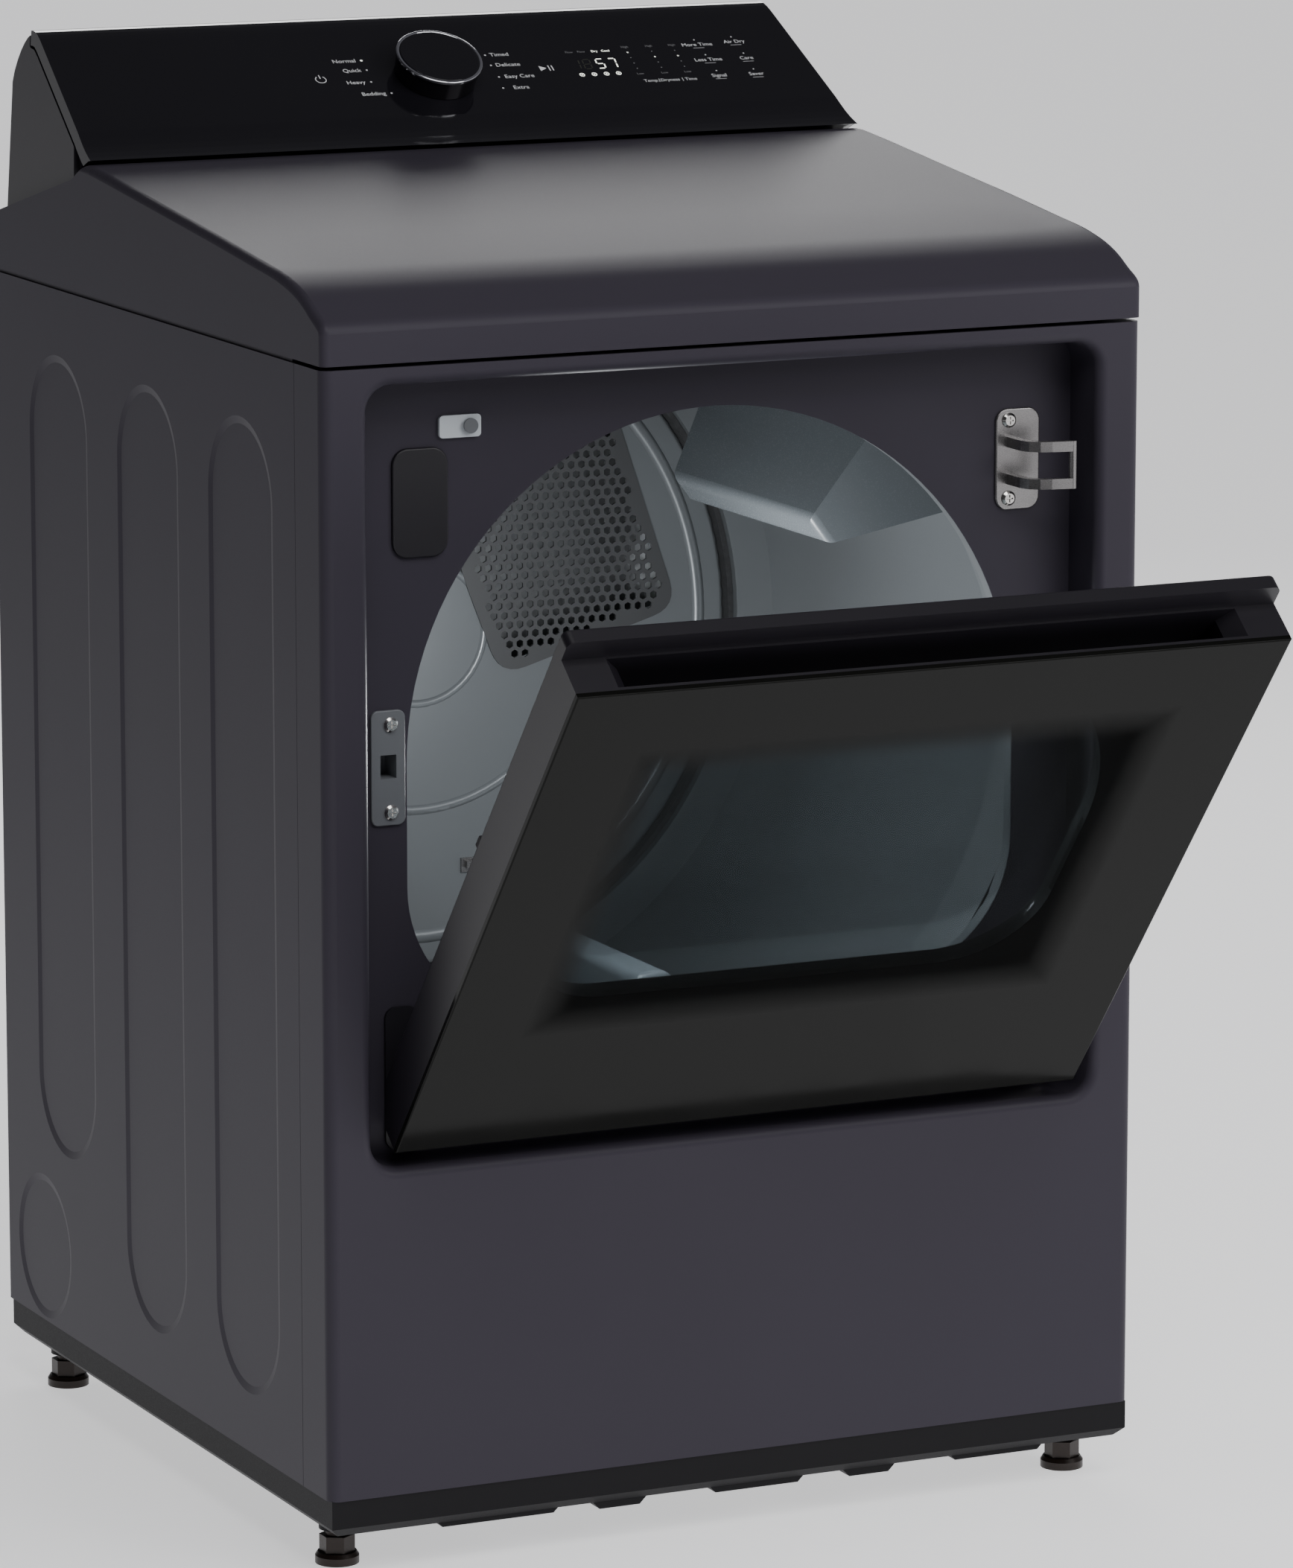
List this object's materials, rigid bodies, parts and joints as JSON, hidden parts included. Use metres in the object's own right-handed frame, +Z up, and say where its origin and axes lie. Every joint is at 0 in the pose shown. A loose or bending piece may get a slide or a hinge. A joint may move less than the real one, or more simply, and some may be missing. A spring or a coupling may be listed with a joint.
{
  "type": "clothes dryer",
  "caption": "Free-standing front-loading clothes dryer in matte charcoal with a laid-back glossy console and a wide dark glass door tilted open on its bottom edge.",
  "frame": {"origin": "middle of the footprint box on the floor, with the door tilted open as drawn", "axes": "+Z up, -Y towards the user (door side), +X to the user's right"},
  "size_m": [0.686, 1.0485, 1.123],
  "materials": {
    "cabinet_paint": "matte, fine grain",
    "base_black": "matte",
    "galvanised": "dull zinc coat",
    "drum_steel": "smooth enamel",
    "lifter_plastic": "satin",
    "grille_plastic": "satin",
    "felt": "felt",
    "black_rubber": "matte",
    "foot_plastic": "matte",
    "roller_rubber": "matte",
    "motor_paint": "satin",
    "white_plastic": "satin",
    "grey_plastic": "satin",
    "black_plastic": "satin",
    "console_gloss": "high gloss",
    "console_cap": "satin",
    "knob_silver": "satin",
    "knob_chrome": "bright",
    "bright_screw": "bright nickel",
    "hinge_steel": "satin",
    "board": "satin",
    "heater_wire": "dull",
    "door_tint": "dark tinted gloss",
    "door_plastic": "satin",
    "clear_window": "clear",
    "seal_rubber": "matte"
  },
  "bodies": {
    "cabinet": {"base_pan": "base_black", "left_side_panel": "cabinet_paint", "right_side_panel": "cabinet_paint", "front_panel": "cabinet_paint", "top_cover": "cabinet_paint", "rear_panel": "galvanised", "power_inlet": "black_plastic", "front_bulkhead": "drum_steel", "front_felt_seal": "felt", "rear_bulkhead": "drum_steel", "rear_felt_seal": "felt", "inlet_grille": "grille_plastic", "moisture_sensor": "hinge_steel", "roller_axles": "galvanised", "drum_belt": "black_rubber", "motor_housing": "motor_paint", "motor_bracket": "galvanised", "blower_housing": "grey_plastic", "exhaust_duct": "galvanised", "idler_arm": "galvanised", "lint_duct": "grey_plastic", "heater_box": "galvanised", "heater_coils": "heater_wire", "console_fascia": "console_gloss", "console_housing": "console_cap", "control_board": "board", "switch_plate": "white_plastic", "blind_cap": "black_plastic", "latch_plate": "grey_plastic", "hinge_loop": "hinge_steel", "plate_screws": "bright_screw", "lower_hinge_bracket": "hinge_steel", "lower_left_cradle": "black_plastic"},
    "drum": {"drum_shell": "drum_steel", "drum_lifters": "lifter_plastic"},
    "motor_rotor": {"motor_shaft": "hinge_steel", "blower_wheel": "grey_plastic"},
    "idler": {"idler_pulley": "black_plastic"},
    "knob": {"knob_body": "knob_silver", "knob_ring": "knob_chrome", "knob_cap": "console_gloss"},
    "sensor_plunger": {"switch_plunger": "grey_plastic"},
    "latch_spring_catch": {"latch_catch": "white_plastic"},
    "filter": {"lint_filter": "grey_plastic"},
    "hinge_carrier": {"hinge_knuckle": "hinge_steel"},
    "door": {"door_glass": "door_tint", "door_frame": "door_plastic", "door_inner_panel": "door_plastic", "door_window": "clear_window", "door_seal": "seal_rubber", "door_strike": "black_plastic", "handle_screws": "bright_screw"},
    "roller_front_left": {"drum_roller_front_left": "roller_rubber"},
    "roller_front_right": {"drum_roller_front_right": "roller_rubber"},
    "roller_rear_left": {"drum_roller_rear_left": "roller_rubber"},
    "roller_rear_right": {"drum_roller_rear_right": "roller_rubber"},
    "levelling_foot_front_left": {"foot_front_left": "foot_plastic"},
    "levelling_foot_front_right": {"foot_front_right": "foot_plastic"},
    "levelling_foot_rear_left": {"foot_rear_left": "foot_plastic"},
    "levelling_foot_rear_right": {"foot_rear_right": "foot_plastic"}
  },
  "joints": [
    {"name": "drum_spin", "type": "hinge", "parent": "cabinet", "child": "drum", "pos_m": [0, 0.16548, 0.612], "axis": [0, 1, 0], "continuous": true},
    {"name": "motor_spin", "type": "hinge", "parent": "cabinet", "child": "motor_rotor", "pos_m": [-0.11, 0.07148, 0.15], "axis": [0, 1, 0], "continuous": true},
    {"name": "idler_spin", "type": "hinge", "parent": "cabinet", "child": "idler", "pos_m": [-0.20533, 0.15648, 0.25461], "axis": [0, 1, 0], "continuous": true},
    {"name": "roller_front_left_spin", "type": "hinge", "parent": "cabinet", "child": "roller_front_left", "pos_m": [-0.20494, -0.05952, 0.31932], "axis": [0, 1, 0], "continuous": true},
    {"name": "roller_front_right_spin", "type": "hinge", "parent": "cabinet", "child": "roller_front_right", "pos_m": [0.20494, -0.05952, 0.31932], "axis": [0, 1, 0], "continuous": true},
    {"name": "roller_rear_left_spin", "type": "hinge", "parent": "cabinet", "child": "roller_rear_left", "pos_m": [-0.20494, 0.39048, 0.31932], "axis": [0, 1, 0], "continuous": true},
    {"name": "roller_rear_right_spin", "type": "hinge", "parent": "cabinet", "child": "roller_rear_right", "pos_m": [0.20494, 0.39048, 0.31932], "axis": [0, 1, 0], "continuous": true},
    {"name": "knob_turn", "type": "hinge", "parent": "cabinet", "child": "knob", "pos_m": [-0.007, 0.36351, 1.08085], "axis": [0, -0.521, 0.8536], "continuous": true},
    {"name": "sensor_plunger_press", "type": "slide", "parent": "cabinet", "child": "sensor_plunger", "axis": [0, 1, 0], "range_m": [0, 0.002], "stiffness_N_per_m": 150, "springref_m": -0.002},
    {"name": "latch_catch_press", "type": "slide", "parent": "cabinet", "child": "latch_spring_catch", "axis": [-1, 0, 0], "range_m": [0, 0.0035], "stiffness_N_per_m": 400, "springref_m": -0.002},
    {"name": "lint_filter_lift", "type": "slide", "parent": "cabinet", "child": "filter", "axis": [0, 0, 1], "range_m": [0, 0.25]},
    {"name": "foot_front_left_height", "type": "slide", "parent": "cabinet", "child": "levelling_foot_front_left", "axis": [0, 0, -1], "range_m": [0, 0.012]},
    {"name": "foot_front_right_height", "type": "slide", "parent": "cabinet", "child": "levelling_foot_front_right", "axis": [0, 0, -1], "range_m": [0, 0.012]},
    {"name": "foot_rear_left_height", "type": "slide", "parent": "cabinet", "child": "levelling_foot_rear_left", "axis": [0, 0, -1], "range_m": [0, 0.012]},
    {"name": "foot_rear_right_height", "type": "slide", "parent": "cabinet", "child": "levelling_foot_rear_right", "axis": [0, 0, -1], "range_m": [0, 0.012]},
    {"name": "door_swing", "type": "hinge", "parent": "cabinet", "child": "hinge_carrier", "pos_m": [0.286, -0.18952, 0.3471], "axis": [0, 0, 1], "range_deg": [0, 70]},
    {"name": "door_tilt", "type": "hinge", "parent": "hinge_carrier", "child": "door", "pos_m": [0, -0.19122, 0.3471], "axis": [1, 0, 0], "range_deg": [-39.4, 0]}
  ],
  "couplings": [
    {"joint": "motor_spin", "follows": "drum_spin", "ratio": 24.308},
    {"joint": "idler_spin", "follows": "drum_spin", "ratio": -14.741},
    {"joint": "roller_front_left_spin", "follows": "drum_spin", "ratio": -9.2},
    {"joint": "roller_front_right_spin", "follows": "drum_spin", "ratio": -9.2},
    {"joint": "roller_rear_left_spin", "follows": "drum_spin", "ratio": -9.2},
    {"joint": "roller_rear_right_spin", "follows": "drum_spin", "ratio": -9.2}
  ]
}
